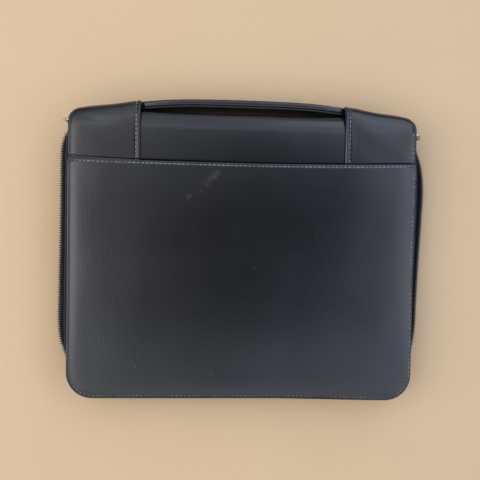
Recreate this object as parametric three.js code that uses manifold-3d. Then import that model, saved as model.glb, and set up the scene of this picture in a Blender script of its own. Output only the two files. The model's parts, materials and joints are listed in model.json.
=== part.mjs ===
// Zip-around leather laptop bag with a carry handle, closed and lying on its front cover.
// Millimetres. X runs along the spine, +Y from the zipped edge to the spine, +Z is up.
// Depth is measured from the zipped edge of the covers (0) to the outer face of the spine.
import * as THREE from "three";
import Module from "manifold-3d";
import { mergeVertices } from "three/addons/utils/BufferGeometryUtils.js";

// Driving sizes of the covers
const COVER_WIDTH = 320;
const COVER_DEPTH = 264;
const COVER_WALL = 2.4;
const CORNER_RADIUS = 24;
const SPINE_CORNER = 11;
const SPINE_RADIUS = 9;
const EDGE_HEIGHT = 36.3;
const SPINE_HEIGHT = 43.3;
const CROWN = 2;

// The right corner at the zipped edge is stretched a little: how far, and where that starts and is full
const CORNER_STRETCH = { x: 1, depth: -1.9 };
const STRETCH_START = { x: 20, depth: 110 };
const STRETCH_FULL = { x: 140, depth: 30 };

// Air left between neighbouring pieces
const GAP = 0.3;

// Middle of the bag's footprint, which is the origin of the part
const CENTRE = { x: 1.8, depth: 137 };

// Slip pocket on the back cover
const POCKET_WALL = 1.4;
const POCKET_MOUTH = 217.4;
const POCKET_MOUTH_SAG = { left: 1.2, right: 3.2 };
const POCKET_FULLNESS = 0.7;
const POCKET_SEAM = 25;
const POCKET_RAMP = { from: 96, to: 204 };

// Sleeves over the ends of the spine: reach is how far the outside stands off the spine face,
// and bend is the radius on which the back of a sleeve curves down from the flat
const TAB_WALL = 2;
const TAB_START = 206;
const TAB_END_ANGLE = -45;
const TAB_BEND = 40;
const TAB_ROUND = 5;
const TAB_TUCK = 8;
const TAB_ROWS = [
  { x: 94, reach: 9.7 },
  { x: 98, reach: 9.4 },
  { x: 104, reach: 8.6 },
  { x: 116, reach: 6.6 },
  { x: 130, reach: 4.9 },
  { x: 140, reach: 3.7 },
  { x: 147, reach: 2.9 },
  { x: 160, reach: 2.3 },
];

// Carry handle: its inner and outer faces as distances from the spine face, and half its height.
// The handle and the mouths of its sleeves sit a little left of the middle.
const HANDLE_OFFSET = -1.3;
const HANDLE_MIDDLE = 21;
const HANDLE_SPLIT = 0.27;
const HANDLE_EDGE_THINNING = 0.12;
const HANDLE_ROWS = [
  { x: 0, inner: 5, outer: 13.4, half: 16.5 },
  { x: 26, inner: 5, outer: 13.2, half: 16.5 },
  { x: 52, inner: 4.6, outer: 12.6, half: 16.5 },
  { x: 66, inner: 3.9, outer: 11.9, half: 16.5 },
  { x: 79, inner: 3, outer: 10.9, half: 15.8 },
  { x: 88, inner: 2.1, outer: 9.9, half: 15 },
  { x: 91.5, inner: 1.6, outer: 9.2, half: 13.5 },
  { x: 93.6, inner: 1.4, outer: 7.3, half: 11 },
  { x: 104, inner: 0.9, outer: 6.1, half: 10.8 },
  { x: 116, inner: 0.6, outer: 4.2, half: 10.6 },
  { x: 128, inner: 0.4, outer: 2.6, half: 10.4 },
];

// Zipped rim: how far the outside of the chain stands out from the cover's edge, on each side
const RIM_ROWS = [
  { depth: 250.5, left: -3, right: -3 },
  { depth: 247, left: 1.5, right: 0 },
  { depth: 244, left: 5.2, right: 2.6 },
  { depth: 237, left: 8.5, right: 6.8 },
  { depth: 231, left: 9.9, right: 9.4 },
  { depth: 224, left: 10.3, right: 11.8 },
  { depth: 212, left: 10.4, right: 14.2 },
  { depth: 199, left: 10.4, right: 15.2 },
  { depth: 170, left: 10.4, right: 14.4 },
  { depth: 131, left: 10.6, right: 12.6 },
  { depth: 92, left: 11, right: 11.1 },
  { depth: 62, left: 10.6, right: 9.4 },
  { depth: 50, left: 8.9, right: 7.5 },
  { depth: 41, left: 5.6, right: 5.4 },
  { depth: 33, left: 2.6, right: 2.6 },
];
const RIM_FRONT = 2;
const RIM_STEP = 1.6;
const SLANT_ROOT = { inset: 0.2, below: 2.2 };
const SLANT_TIP_INSET = 1;
const GUSSET_WALL = 1.6;
const GUSSET_FLANGE = 7;
const GUSSET_FOLD = { outer: 1.2, inner: 2.2 };
const GUSSET_SHARE = 0.42;
const TAPE_WALL = 1;
const TAPE_START_SHARE = 0.3;
const TAPE_TURN_SHARE = 0.8;
const TAPE_EDGE = { near: 1, far: 2.2 };
const CHAIN_THICKNESS = 3.3;
const CHAIN_HALF_HEIGHT = 3.2;

// Zip slider, parked at the spine end of the right side
const SLIDER_DEPTHS = [249, 246.5, 244, 241.5];
const SLIDER_HALF_HEIGHT = 5;
const SLIDER_PLATE = 1.5;
const SLIDER_LIP = 1.2;
const PULL = { from: 245.5, to: 242, wall: 1.6, top: -1, bottom: -15 };

// Rings at the ends of the spine and the leather loops that hold them
const RING_DEPTH = 255.2;
const RING_HEIGHT = 22;
const RING_WIRE = 1.4;
const RING_SIDES = 8;
const RING_STEPS = 26;
const RING_REACH = 14;
const RING_HALF_HEIGHT = 7.5;
const RING_FILLET = 1.5;
const RINGS = [
  { name: "left", side: -1, out: 153.5, turn: 5 },
  { name: "right", side: 1, out: 158.5, turn: -32 },
];
const LOOP_WALL = 1.5;
const LOOP_HEIGHT = 11;
const LOOP_TAIL = { length: 22, upper: 5, lower: 9 };
const LOOP_WRAP = { from: 62, to: 200 };

const radians = THREE.MathUtils.degToRad;
const slope = Math.atan((SPINE_HEIGHT - EDGE_HEIGHT) / COVER_DEPTH);
const { smoothstep } = THREE.MathUtils;

// Point of the part from a place on the bag, moved along with the stretched corner
function place(x, depth, z) {
  const nearZip = 1 - smoothstep(depth, STRETCH_FULL.depth, STRETCH_START.depth);
  const stretch = nearZip * smoothstep(x, STRETCH_START.x, STRETCH_FULL.x);
  return new THREE.Vector3(
    x + CORNER_STRETCH.x * stretch - CENTRE.x,
    depth + CORNER_STRETCH.depth * stretch - CENTRE.depth,
    z,
  );
}
const range = (steps, from, to) =>
  Array.from({ length: steps + 1 }, (_, i) => THREE.MathUtils.lerp(from, to, i / steps));

// Value of a table's column at a place along its key column, on straight lines between rows
function lookUp(rows, key, column, at) {
  const ordered = [...rows].sort((a, b) => a[key] - b[key]);
  const after = ordered.findIndex((row) => row[key] >= at);
  if (after === 0) return ordered[0][column];
  if (after < 0) return ordered.at(-1)[column];
  const low = ordered[after - 1];
  const high = ordered[after];
  return THREE.MathUtils.mapLinear(at, low[key], high[key], low[column], high[column]);
}

// Volume inside an indexed skin, negative where its faces point inwards
function signedVolume(points, index) {
  let sum = 0;
  for (let i = 0; i < index.length; i += 3) {
    const [a, b, c] = [points[index[i]], points[index[i + 1]], points[index[i + 2]]];
    sum += a.dot(new THREE.Vector3().crossVectors(b, c)) / 6;
  }
  return sum;
}

// Skin through closed sections with equal point counts. A section runs out along one rail and
// back along the other, so a plain strip between the rails closes each end.
function loft(sections, ring = false) {
  const count = sections[0].length;
  const points = sections.flat();
  const index = [];
  const quad = (a, b, c, d) => index.push(a, b, c, a, c, d);
  const spans = ring ? sections.length : sections.length - 1;
  for (let s = 0; s < spans; s += 1) {
    const here = s * count;
    const next = ((s + 1) % sections.length) * count;
    for (let i = 0; i < count; i += 1) {
      const j = (i + 1) % count;
      quad(here + i, here + j, next + j, next + i);
    }
  }
  const end = points.length - count;
  for (let i = 0; !ring && i < count / 2 - 1; i += 1) {
    const back = count - 1 - i;
    quad(i, back, back - 1, i + 1);
    quad(end + i, end + i + 1, end + back - 1, end + back);
  }
  if (signedVolume(points, index) < 0) index.reverse();
  const geometry = new THREE.BufferGeometry().setFromPoints(points);
  geometry.setIndex(index);
  geometry.computeVertexNormals();
  return geometry;
}

// Half the width of a cover at a depth, with rounded corners at the zipped edge and the spine
function halfWidth(depth) {
  const inset = (radius, into) => radius - Math.sqrt(radius ** 2 - Math.max(into, 0) ** 2);
  const atZip = inset(CORNER_RADIUS, CORNER_RADIUS - depth);
  const atSpine = inset(SPINE_CORNER, depth - COVER_DEPTH + SPINE_CORNER);
  return COVER_WIDTH / 2 - atZip - atSpine;
}

// Outer face of the back cover, gently crowned between its edges
const backLine = (depth) => EDGE_HEIGHT + Math.tan(slope) * depth;
function backHeight(x, depth) {
  const along = THREE.MathUtils.clamp(depth / (COVER_DEPTH - SPINE_RADIUS), 0, 1);
  const across = 1 - (x / (COVER_WIDTH / 2)) ** 2;
  return backLine(depth) + CROWN * across * Math.sin(Math.PI * along);
}

// Stations of the wrap's outer face in side view. Angle is the way that the face looks, in degrees.
const FLAT_ANGLE = 90 + THREE.MathUtils.radToDeg(slope);
const upperCentre = backLine(COVER_DEPTH - SPINE_RADIUS) - SPINE_RADIUS / Math.cos(slope);
const backStation = (depth) => ({ depth, z: backLine(depth), angle: FLAT_ANGLE, back: true });
const frontStation = (depth) => ({ depth, z: 0, angle: -90, back: false });
const roundStation = (centre) => (angle) => ({
  depth: COVER_DEPTH - SPINE_RADIUS + SPINE_RADIUS * Math.cos(radians(angle)),
  z: centre + SPINE_RADIUS * Math.sin(radians(angle)),
  angle,
  back: false,
});
const upperRound = roundStation(upperCentre);
const lowerRound = roundStation(SPINE_RADIUS);
const spineStation = (z) => ({ depth: COVER_DEPTH, z, angle: 0, back: false });
const cornerDepths = range(6, 0, 90).map((turn) => CORNER_RADIUS * (1 - Math.cos(radians(turn))));

// Point a given way off the wrap's outer face, outwards positive
function offWrap(station, x, off) {
  const rise = station.back ? backHeight(x, station.depth) - backLine(station.depth) : 0;
  const turn = radians(station.angle);
  return place(x, station.depth + off * Math.cos(turn), station.z + rise + off * Math.sin(turn));
}

// One section of a sheet: out along the outer face and back along the inner face
const sheetSection = (outer, inner) => [...outer, ...inner.toReversed()];
const ACROSS = range(8, -1, 1);

function coverWrap() {
  const arc = range(6, FLAT_ANGLE, 0);
  const stations = [
    ...cornerDepths.map(backStation),
    ...range(6, CORNER_RADIUS, COVER_DEPTH - SPINE_RADIUS).slice(1, -1).map(backStation),
    ...arc.map(upperRound),
    ...range(6, 0, -90).map(lowerRound),
    ...range(3, COVER_DEPTH - SPINE_RADIUS, CORNER_RADIUS).slice(1, -1).map(frontStation),
    ...cornerDepths.toReversed().map(frontStation),
  ];
  return loft(stations.map((station) => {
    const across = ACROSS.map((share) => share * halfWidth(station.depth));
    const outer = across.map((x) => offWrap(station, x, 0));
    return sheetSection(outer, across.map((x) => offWrap(station, x, -COVER_WALL)));
  }));
}

// Height of the pocket's underside above the cover: sewn down at the rim, raised over the sleeves
function pocketLift(x, depth) {
  const side = smoothstep(halfWidth(depth) - Math.abs(x), 0, POCKET_SEAM);
  const field = side * smoothstep(depth, 0, POCKET_SEAM);
  const overTab = smoothstep(depth, POCKET_RAMP.from, POCKET_RAMP.to);
  return GAP + POCKET_FULLNESS * field + (TAB_WALL + GAP) * overTab;
}

function backPocket() {
  const raised = range(6, POCKET_RAMP.from, POCKET_RAMP.to);
  return loft([...cornerDepths, 2 * POCKET_SEAM, ...raised, POCKET_MOUTH].map((station) => {
    const rail = (wall) => ACROSS.map((share) => {
      const x = share * halfWidth(station);
      const sag = share < 0 ? POCKET_MOUTH_SAG.left : POCKET_MOUTH_SAG.right;
      const depth = station + sag * share ** 2 * (station / POCKET_MOUTH) ** 2;
      return place(x, depth, backHeight(x, depth) + pocketLift(x, depth) + wall);
    });
    return sheetSection(rail(POCKET_WALL), rail(0));
  }));
}

// Sleeve over one end of the spine, open at its inner mouth and tapering to the end of the spine.
// Its back bends down from the flat on a wide curve, turns over the handle and tucks in below.
function tab(side) {
  const stations = [
    ...range(4, TAB_START, COVER_DEPTH - SPINE_RADIUS).slice(0, -1).map(backStation),
    ...range(8, FLAT_ANGLE, 0).map(upperRound),
    ...range(6, upperCentre, SPINE_RADIUS).slice(1, -1).map(spineStation),
    ...range(4, 0, TAB_END_ANGLE).map(lowerRound),
  ];
  const flatEnd = COVER_DEPTH - SPINE_RADIUS;
  const underBend = ({ depth, z, angle }) => {
    if (angle < 0) return Infinity;
    const turn = radians(angle);
    const run = depth - flatEnd;
    const room = backLine(depth) - run ** 2 / (2 * TAB_BEND) - z;
    const steepness = Math.sin(turn) + (run / TAB_BEND - Math.tan(slope)) * Math.cos(turn);
    const curving = (2 * room * Math.cos(turn) ** 2) / TAB_BEND;
    return (2 * room) / (steepness + Math.sqrt(steepness ** 2 + curving));
  };
  const faceHeight = upperCentre - SPINE_RADIUS;
  const outside = faceHeight - radians(TAB_END_ANGLE) * SPINE_RADIUS;
  const tuck = ({ z, angle }) => {
    if (angle > 0) return 1;
    const down = angle === 0 ? upperCentre - z : faceHeight - radians(angle) * SPINE_RADIUS;
    return 1 - (down / outside) ** TAB_TUCK;
  };
  const lesser = (a, b) => {
    const blend = Math.max(TAB_ROUND - Math.abs(a - b), 0);
    return Math.max(Math.min(a, b) - blend ** 2 / (4 * TAB_ROUND), 0);
  };
  const mouth = TAB_ROWS[0].x;
  return loft(TAB_ROWS.map(({ x, reach }) => {
    const bulge = reach - TAB_WALL - GAP;
    const shift = THREE.MathUtils.mapLinear(x, mouth, COVER_WIDTH / 2, HANDLE_OFFSET, 0);
    const rail = (wall) => stations.map((station) => {
      const across = side * Math.min(x, halfWidth(station.depth)) + shift;
      const stand = station.back ? 0 : lesser(underBend(station), bulge * tuck(station));
      return offWrap(station, across, GAP + stand + wall);
    });
    return sheetSection(rail(TAB_WALL), rail(0));
  }));
}

// One layer of the handle between two faces, thinner towards its top and bottom edges
function handleLayer(facesAt) {
  const rows = [...HANDLE_ROWS.toReversed().map((row) => ({ ...row, x: -row.x })), ...HANDLE_ROWS.slice(1)];
  const heights = range(6, -1, 1);
  return loft(rows.map((row) => {
    const { flat, full } = facesAt(row);
    const point = (height, off) =>
      place(row.x + HANDLE_OFFSET, COVER_DEPTH + off, HANDLE_MIDDLE + height * row.half);
    const bowed = (height) => full - (full - flat) * HANDLE_EDGE_THINNING * Math.abs(height) ** 3;
    const flatRail = heights.map((height) => point(height, flat));
    return sheetSection(heights.map((height) => point(height, bowed(height))), flatRail);
  }));
}
const handleSeam = ({ inner, outer }) => THREE.MathUtils.lerp(inner, outer, HANDLE_SPLIT);
const handleFace = () =>
  handleLayer((row) => ({ flat: handleSeam(row) + GAP / 2, full: row.outer }));
const handleBack = () =>
  handleLayer((row) => ({ flat: handleSeam(row) - GAP / 2, full: row.inner }));

// Stations along the covers' outline, from the left end of the spine round to the right end
const sideStation = (side, depth) => ({
  x: (side * COVER_WIDTH) / 2,
  depth,
  out: { x: side, depth: 0 },
  bulge: lookUp(RIM_ROWS, "depth", side < 0 ? "left" : "right", depth),
});
const cornerStation = (side) => (turn) => ({
  x: side * (COVER_WIDTH / 2 - CORNER_RADIUS + CORNER_RADIUS * Math.cos(radians(turn))),
  depth: CORNER_RADIUS * (1 - Math.sin(radians(turn))),
  out: { x: side * Math.cos(radians(turn)), depth: -Math.sin(radians(turn)) },
  bulge: RIM_FRONT,
});
const frontEdgeStation = (x) => ({ x, depth: 0, out: { x: 0, depth: -1 }, bulge: RIM_FRONT });
const frontHalf = COVER_WIDTH / 2 - CORNER_RADIUS;

// Depths down one side, closer together where the rim swings out or in quickly
function sideDepths(column) {
  const spans = RIM_ROWS.slice(1).map((row, i) => {
    const before = RIM_ROWS[i];
    const steps = Math.ceil(Math.abs(row[column] - before[column]) / RIM_STEP);
    return range(Math.max(steps, 1), before.depth, row.depth).slice(1);
  });
  return [RIM_ROWS[0].depth, ...spans.flat()];
}

const cornerTurns = range(6, 0, 90);
const rimStations = [
  ...sideDepths("left").map((depth) => sideStation(-1, depth)),
  ...cornerTurns.map(cornerStation(-1)),
  ...range(4, -frontHalf, frontHalf).slice(1, -1).map(frontEdgeStation),
  ...cornerTurns.toReversed().map(cornerStation(1)),
  ...sideDepths("right").toReversed().map((depth) => sideStation(1, depth)),
];

// Half the room between the covers at a station, and the height of its middle
function rimRoom(station) {
  const under = backLine(station.depth) - COVER_WALL / Math.cos(slope);
  return { half: (under - COVER_WALL) / 2, middle: (under + COVER_WALL) / 2 };
}

// Point at a distance out from the cover's edge and a height above the rim's middle
const rimPoint = (station, out, height) =>
  place(
    station.x + station.out.x * out,
    station.depth + station.out.depth * out,
    rimRoom(station).middle + height,
  );

// Frame of the slanting side of the rim: its root under the cover, its length and directions
function rimSlant(station) {
  const root = new THREE.Vector2(-SLANT_ROOT.inset, rimRoom(station).half - SLANT_ROOT.below);
  const tip = new THREE.Vector2(station.bulge - SLANT_TIP_INSET, 0);
  const down = tip.clone().sub(root);
  const length = down.length();
  down.normalize();
  const outward = new THREE.Vector2(-down.y, down.x);
  const at = (share, off, extra = 0) =>
    root.clone().addScaledVector(down, share * length + extra).addScaledVector(outward, off);
  return { at };
}

// Sweep of a section round the rim. The lower copy is the upper one turned over.
function rimSweep(sectionAt, upside, stations = rimStations) {
  return loft(stations.map((station) =>
    sectionAt(station).map(({ x, y }) => rimPoint(station, x, upside * y))));
}

function gussetSection(station) {
  const { at } = rimSlant(station);
  const seat = rimRoom(station).half - GAP;
  const half = GUSSET_WALL / 2;
  const flange = (fold, y) => [{ x: -GUSSET_FLANGE, y }, { x: -fold, y }];
  const outer = flange(GUSSET_FOLD.outer, seat);
  const inner = flange(GUSSET_FOLD.inner, seat - GUSSET_WALL);
  const shares = [0, GUSSET_SHARE / 2, GUSSET_SHARE];
  outer.push(...shares.map((share) => at(share, half)));
  inner.push(...shares.map((share) => at(share, -half, share === 0 ? half : 0)));
  return sheetSection(outer, inner);
}

function tapeSection(station) {
  const { at } = rimSlant(station);
  const end = station.bulge - CHAIN_THICKNESS - GAP;
  const rail = (off, limit, edge) => {
    const turn = at(TAPE_TURN_SHARE, off);
    return [at(TAPE_START_SHARE, off), { x: Math.min(turn.x, limit), y: turn.y }, { x: end, y: edge }];
  };
  const near = -GUSSET_WALL / 2 - GAP;
  const outer = rail(near, end, TAPE_EDGE.far);
  return sheetSection(outer, rail(near - TAPE_WALL, end - TAPE_WALL, TAPE_EDGE.near));
}

function chainSection({ bulge }) {
  const rail = (x) => [{ x, y: -CHAIN_HALF_HEIGHT }, { x, y: CHAIN_HALF_HEIGHT }];
  return sheetSection(rail(bulge), rail(bulge - CHAIN_THICKNESS));
}

// Slider: a channel round the chain joined to the plate of its pull
const rightStation = (depth) => sideStation(1, depth);

function channelSection({ bulge }) {
  const lip = bulge - SLIDER_LIP;
  const channel = (out, half) => [
    { x: lip, y: -half },
    { x: out, y: -half },
    { x: out, y: half },
    { x: lip, y: half },
  ];
  const inside = channel(bulge + GAP, CHAIN_HALF_HEIGHT + GAP);
  return sheetSection(channel(bulge + GAP + SLIDER_PLATE, SLIDER_HALF_HEIGHT), inside);
}

function pullSection({ bulge }) {
  const face = bulge + GAP + SLIDER_PLATE / 2;
  const rail = (x) => [{ x, y: PULL.bottom }, { x, y: PULL.top }];
  return sheetSection(rail(face + PULL.wall), rail(face));
}

const wasm = await Module();
wasm.setup();

function toManifold(geometry) {
  const bare = geometry.clone();
  bare.deleteAttribute("normal");
  const merged = mergeVertices(bare);
  const vertProperties = new Float32Array(merged.attributes.position.array);
  const triVerts = new Uint32Array(merged.index.array);
  return new wasm.Manifold(new wasm.Mesh({ numProp: 3, vertProperties, triVerts }));
}

function join(first, second) {
  const mesh = toManifold(first).add(toManifold(second)).getMesh();
  const geometry = new THREE.BufferGeometry();
  geometry.setAttribute("position", new THREE.BufferAttribute(mesh.vertProperties, 3));
  geometry.setIndex(new THREE.BufferAttribute(mesh.triVerts, 1));
  geometry.computeVertexNormals();
  return geometry;
}

const zipSlider = () =>
  join(
    rimSweep(channelSection, 1, SLIDER_DEPTHS.map(rightStation)),
    rimSweep(pullSection, 1, [PULL.from, PULL.to].map(rightStation)),
  );

// Leather loop: a folded strip on the inner face of the spine with an eye round the ring's bar
function ringLoop(side) {
  const eye = RING_WIRE + GAP;
  const top = COVER_DEPTH - COVER_WALL - GAP - RING_DEPTH;
  const bottom = top - 2 * LOOP_WALL;
  const outline = new THREE.Shape();
  outline.moveTo(-LOOP_TAIL.length, top);
  outline.lineTo(-LOOP_TAIL.upper, top);
  outline.absarc(0, 0, eye + LOOP_WALL, radians(LOOP_WRAP.from), radians(LOOP_WRAP.to), true);
  outline.lineTo(-LOOP_TAIL.lower, bottom);
  outline.lineTo(-LOOP_TAIL.length, bottom);
  outline.closePath();
  outline.holes.push(new THREE.Path().absarc(0, 0, eye, 0, 2 * Math.PI, false));
  const options = { depth: LOOP_HEIGHT, bevelEnabled: false, curveSegments: 12 };
  const strip = new THREE.ExtrudeGeometry(outline, options);
  strip.translate(0, 0, -LOOP_HEIGHT / 2);
  if (side < 0) strip.rotateY(Math.PI);
  return strip;
}

// Ring: round wire along a D, with its straight bar on the Z axis and its bow out along X
function dRing() {
  const straight = RING_HALF_HEIGHT - RING_FILLET;
  const bow = RING_REACH - RING_FILLET;
  const quarter = Math.PI / 2;
  const outline = new THREE.Path();
  outline.moveTo(0, -straight);
  outline.lineTo(0, straight);
  outline.absarc(RING_FILLET, straight, RING_FILLET, 2 * quarter, quarter, true);
  outline.absellipse(RING_FILLET, 0, bow, RING_HALF_HEIGHT, quarter, -quarter, true);
  outline.absarc(RING_FILLET, -straight, RING_FILLET, -quarter, -2 * quarter, true);
  const sides = range(RING_SIDES, 0, 2 * Math.PI).slice(0, -1);
  const sections = range(RING_STEPS, 0, 1).slice(0, -1).map((share) => {
    const centre = outline.getPointAt(share);
    const along = outline.getTangentAt(share);
    return sides.map((turn) => {
      const off = RING_WIRE * Math.cos(turn);
      const lift = RING_WIRE * Math.sin(turn);
      return new THREE.Vector3(centre.x + along.y * off, lift, centre.y - along.x * off);
    });
  });
  return loft(sections, true);
}

// Finishes
const leather = { color: 0x2b2d31, roughness: 0.5, metalness: 0 };
const woven = { color: 0x1b1b1e, roughness: 0.9, metalness: 0 };
const plastic = { color: 0x161618, roughness: 0.45, metalness: 0 };
const steel = { color: 0xb9bcc2, roughness: 0.2, metalness: 1 };

const bag = new THREE.Group();

function addPiece(name, geometry, finish) {
  const mesh = new THREE.Mesh(geometry, new THREE.MeshStandardMaterial(finish));
  mesh.name = name;
  bag.add(mesh);
  return mesh;
}

addPiece("cover_wrap", coverWrap(), leather);
addPiece("back_pocket", backPocket(), leather);
addPiece("tab_left", tab(-1), leather);
addPiece("tab_right", tab(1), leather);
addPiece("handle_face", handleFace(), leather);
addPiece("handle_back", handleBack(), leather);
addPiece("gusset_upper", rimSweep(gussetSection, 1), leather);
addPiece("gusset_lower", rimSweep(gussetSection, -1), leather);
addPiece("zip_tape_upper", rimSweep(tapeSection, 1), woven);
addPiece("zip_tape_lower", rimSweep(tapeSection, -1), woven);
addPiece("zip_chain", rimSweep(chainSection, 1), plastic);
addPiece("zip_slider", zipSlider(), plastic);

for (const { name, side, out, turn } of RINGS) {
  const pivot = place(side * out, RING_DEPTH, RING_HEIGHT);
  addPiece(`ring_loop_${name}`, ringLoop(side), leather).position.copy(pivot);
  const ring = addPiece(`d_ring_${name}`, dRing(), steel);
  ring.position.copy(pivot);
  ring.rotation.z = side > 0 ? radians(turn) : Math.PI - radians(turn);
}

export default bag;
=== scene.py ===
# Looks of a zip-around leather laptop bag that lies closed on its front cover.
import json
import math

import bmesh
import bpy
import numpy as np
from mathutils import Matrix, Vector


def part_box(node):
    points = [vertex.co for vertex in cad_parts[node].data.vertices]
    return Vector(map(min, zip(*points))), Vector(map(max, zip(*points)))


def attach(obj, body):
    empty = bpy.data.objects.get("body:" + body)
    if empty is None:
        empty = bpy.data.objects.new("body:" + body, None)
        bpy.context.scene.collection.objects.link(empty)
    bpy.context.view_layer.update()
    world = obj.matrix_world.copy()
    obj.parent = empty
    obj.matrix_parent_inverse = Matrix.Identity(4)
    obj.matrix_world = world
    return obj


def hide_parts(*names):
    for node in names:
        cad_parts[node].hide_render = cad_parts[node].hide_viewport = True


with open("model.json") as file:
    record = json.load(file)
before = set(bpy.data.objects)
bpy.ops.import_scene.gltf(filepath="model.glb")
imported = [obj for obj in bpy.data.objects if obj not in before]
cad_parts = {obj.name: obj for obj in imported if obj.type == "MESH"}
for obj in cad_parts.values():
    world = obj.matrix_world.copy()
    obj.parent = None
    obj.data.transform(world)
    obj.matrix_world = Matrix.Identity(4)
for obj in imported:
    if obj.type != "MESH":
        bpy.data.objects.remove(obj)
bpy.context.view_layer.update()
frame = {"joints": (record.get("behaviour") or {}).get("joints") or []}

# Lengths are millimetres in the bag's own directions until to_row() puts them in the frame:
# x along the spine, depth from the zipped edge to the spine, and height.
MM = 0.001

# Covers
HALF_WIDTH = 160
COVER_DEPTH = 264
COVER_WALL = 2.4
CORNER_RADIUS = 24
SPINE_CORNER = 11
SPINE_RADIUS = 9
SPINE_EASE = 16
EDGE_HEIGHT = 36.3
SPINE_HEIGHT = 43.3
CROWN = 2

# Clearance between neighbouring pieces
GAP = 0.3

# The right corner at the zipped edge is stretched a little: how far, and from where to where
CORNER_STRETCH = (1, -1.9)
STRETCH_X = (20, 140)
STRETCH_DEPTH = (30, 110)

# Slip pocket
POCKET_WALL = 1.4
POCKET_MOUTH = 217.4
MOUTH_SAG = (1.2, 3.2)
POCKET_RAMP = (96, 204)
POCKET_LIFT = 2.3

# Sewn edges: the edge is rolled, then comes a groove, the stitches and a soft shoulder
ROLL_WIDTH = 2
GROOVE = {"inset": 2.1, "width": 0.5, "depth": 0.55, "right": 0.4}
STITCH_INSET = 2.8
SHOULDER = {"start": 2.2, "length": 3.4, "height": 0.9}
RIGHT_SHOULDER = {"start": 1, "length": 7, "height": 1.4}
SHOULDER_POWER = 1.3
SEAM_CLOSER = {"right": 1.5, "zipped": 1.05}
SEAM_ZIPPED_DEPTH = (6, 40)
LOOSE_SIDE_MARGIN = 30
HEM = {"inset": 4.1, "width": 0.6, "depth": 0.4, "swell": 0.45}
HEM_TURN = {"rise": 0.4, "fall": 0.55, "past": 0.6}
MOUTH = {"inset": 2.3, "width": 0.6, "depth": 0.3, "swell": 0.05}
MOUTH_DIP = {"cover": 1.3, "cover_width": 1.4, "sleeve": 0.9, "sleeve_width": 1.2}
STRIP_ARCH = {"height": 0.85, "margin": 2, "flatter": 0.5, "half": 100}

# Soft unevenness of the leather: its height, the length of its waves and the seed of its draws
COVER_WAVES = {"height": 0.12, "length": 48, "seed": 3}
POCKET_WAVES = {"height": 0.15, "length": 60, "seed": 7}
SLEEVE_WAVES = {"height": 0.15, "length": 30, "seed": 11}

# Grid lines across a seam, and steps in from a small edge that is rounded over
SEAM_STEPS = [1.7, 2, 2.25, 2.5, 2.8, 3.1, 3.4, 3.7, 4.1, 4.6, 5.3, 6.2, 7.5, 9, 11, 13.5, 17, 21]
EDGE_ROUND = 0.75
ROUND_STEPS = np.array([0, 0.05, 0.2, 0.45, EDGE_ROUND])

# Sleeves at the ends of the spine: how far the outside stands off the spine face
TAB_WALL = 2
TAB_START = 206
TAB_END_ANGLE = 45
TAB_BEND = 40
TAB_ROUND = 5
TAB_TUCK = 8
TAB_NO_LIMIT = 99
TAB_X = [94, 98, 104, 116, 130, 140, 147, 160]
TAB_REACH = [9.7, 9.4, 8.6, 6.6, 4.9, 3.7, 2.9, 2.3]

# Carry handle: distances of its faces from the spine face, and half its height
HANDLE_OFFSET = -1.3
HANDLE_MIDDLE = 21
HANDLE_SPLIT = 0.27
HANDLE_THINNING = 0.12
HANDLE_ROLL = 1.5
HANDLE_GROOVE = 0.7
HANDLE_X = [0, 26, 52, 66, 79, 88, 92.8, 94.4, 95.6, 104, 116, 128]
HANDLE_INNER = [5, 5, 4.6, 3.9, 3, 2.1, 1.7, 1.5, 1.4, 0.9, 0.6, 0.4]
HANDLE_OUTER = [13.4, 13.2, 12.6, 11.9, 10.9, 10, 9.6, 9.3, 7.3, 6.1, 4.2, 2.6]
HANDLE_HALF = [16.5, 16.5, 16.5, 16.5, 15.8, 15, 14.2, 13.4, 11, 10.8, 10.6, 10.4]

# Zipped rim: how far the chain stands out from the cover's edge
RIM_DEPTH = [24, 33, 41, 50, 62, 92, 131, 170, 199, 212, 224, 231, 237, 244, 247, 250.5]
RIM_LEFT = [2, 2.6, 5.6, 8.9, 10.6, 11, 10.6, 10.4, 10.4, 10.4, 10.3, 9.9, 8.5, 5.2, 1.5, -3]
RIM_RIGHT = [2, 2.6, 5.4, 7.5, 9.4, 11.1, 12.6, 14.4, 15.2, 14.2, 11.8, 9.4, 6.8, 2.6, 0, -3]
RIM_FRONT = 2
GUSSET_WALL = 1.6
GUSSET_FLANGE = 7
GUSSET_SHARE = 0.42
GUSSET_SEAM = 0.28
SLANT = {"out": -0.2, "below": 2.2, "short": 1}
TAPE_WALL = 1
TAPE_SHARES = (0.3, 0.8)
TAPE_EDGE = 1.6
CHAIN_THICKNESS = 3.3
CHAIN_HALF_HEIGHT = 3.2
TOOTH_PITCH = 2.3
TOOTH_STAGGER = 0.4
TOOTH_CUT = 0.5
LEG_SHIFT = 0.5

# Slider at the spine end of the right side
SLIDER_DEPTHS = (241.5, 249)
SLIDER_ROWS = np.array([1.5, 2.5, 3.75, 5, 6])
SLIDER_HALF_HEIGHT = 5
SLIDER_PLATE = 1.5
SLIDER_BEND = 1
SLIDER_FLAT = 1.2
SLIDER_LIP = 1.2
PULL = {"from": 242, "to": 245.5, "wall": 1.6, "top": -1, "bottom": -15}

# Rings and the leather loops that hold them
RING_WIRE = 1.4
RING_REACH = 14
RING_HALF_HEIGHT = 7.5
RING_FILLET = 1.5
RING_TURNS = {"left": 175, "right": -32}
LOOP_WALL = 1.5
LOOP_HEIGHT = 11
LOOP_TAIL = 22
LOOP_EYE_ANGLES = (62, -160)
LOOP_SLACK = 0.02

# Thread
STITCH_PITCH = 4
STITCH_WIDTH = 0.9
STITCH_HEIGHT = 0.5


# Shape helpers

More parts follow.
